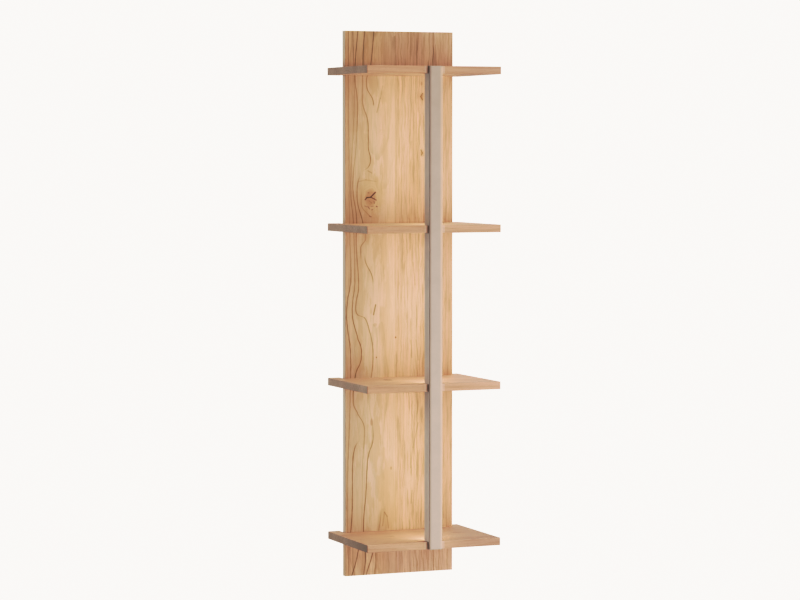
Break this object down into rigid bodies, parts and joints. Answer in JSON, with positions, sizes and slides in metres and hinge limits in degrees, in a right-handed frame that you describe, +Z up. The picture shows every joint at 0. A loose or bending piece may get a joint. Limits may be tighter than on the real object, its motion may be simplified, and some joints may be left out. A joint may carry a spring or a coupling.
{
  "type": "wall-hung spine bookshelf",
  "caption": "Tall timber board hung on a wall, carrying open shelves that a rounded metal spine joins in front and lights from within.",
  "frame": {"origin": "middle of the wall batten's back face, in the plane of the wall, 250 mm below the board's top", "axes": "+Z up, +Y out of the back into the wall, +X to the right of someone who faces the shelf"},
  "size_m": [0.494, 0.385, 1.9],
  "materials": {
    "board_timber": "oiled timber with bold upright figure, knots and fine cracks",
    "shelf_timber": "oiled timber, quiet grain along the shelf",
    "spine_metal": "satin warm grey lacquer",
    "cap_plastic": "satin, in the spine's colour",
    "channel_aluminium": "anodised, matt",
    "light_strip": "white flexible board with yellow chips",
    "opal_diffuser": "opal, glows warm white when lit",
    "screw_steel": "zinc plated",
    "cam_zinc": "die-cast zinc alloy, nickel plated",
    "dowel_beech": "plain beech",
    "batten_timber": "plain sawn softwood",
    "driver_housing": "white moulded case",
    "black_plastic": "black, slightly soft"
  },
  "bodies": {
    "root": {"back_board": "board_timber", "shelf_1": "shelf_timber", "shelf_2": "shelf_timber", "shelf_3": "shelf_timber", "shelf_4": "shelf_timber", "shelf_1_screw_left": "screw_steel", "shelf_1_dowel_left": "dowel_beech", "shelf_1_screw_right": "screw_steel", "shelf_1_dowel_right": "dowel_beech", "spine_nut_1": "screw_steel", "cam_bolt_1": "screw_steel", "cam_1": "cam_zinc", "shelf_2_screw_left": "screw_steel", "shelf_2_dowel_left": "dowel_beech", "shelf_2_screw_right": "screw_steel", "shelf_2_dowel_right": "dowel_beech", "spine_nut_2": "screw_steel", "cam_bolt_2": "screw_steel", "cam_2": "cam_zinc", "shelf_3_screw_left": "screw_steel", "shelf_3_dowel_left": "dowel_beech", "shelf_3_screw_right": "screw_steel", "shelf_3_dowel_right": "dowel_beech", "spine_nut_3": "screw_steel", "cam_bolt_3": "screw_steel", "cam_3": "cam_zinc", "shelf_4_screw_left": "screw_steel", "shelf_4_dowel_left": "dowel_beech", "shelf_4_screw_right": "screw_steel", "shelf_4_dowel_right": "dowel_beech", "spine_nut_4": "screw_steel", "cam_bolt_4": "screw_steel", "cam_4": "cam_zinc", "spine_tube": "spine_metal", "spine_cap_top": "cap_plastic", "spine_cap_bottom": "cap_plastic", "light_channel_1": "channel_aluminium", "light_strip_1": "light_strip", "light_diffuser_1": "opal_diffuser", "light_channel_2": "channel_aluminium", "light_strip_2": "light_strip", "light_diffuser_2": "opal_diffuser", "light_channel_3": "channel_aluminium", "light_strip_3": "light_strip", "light_diffuser_3": "opal_diffuser", "wall_batten": "batten_timber", "hanger_batten": "batten_timber", "spacer_batten": "batten_timber", "hanger_screw_1": "screw_steel", "hanger_screw_2": "screw_steel", "hanger_screw_3": "screw_steel", "spacer_screw_1": "screw_steel", "driver_screw_1": "screw_steel", "spacer_screw_2": "screw_steel", "driver_screw_2": "screw_steel", "light_driver": "driver_housing", "mains_gland": "black_plastic", "light_lead": "black_plastic"}
  },
  "joints": []
}
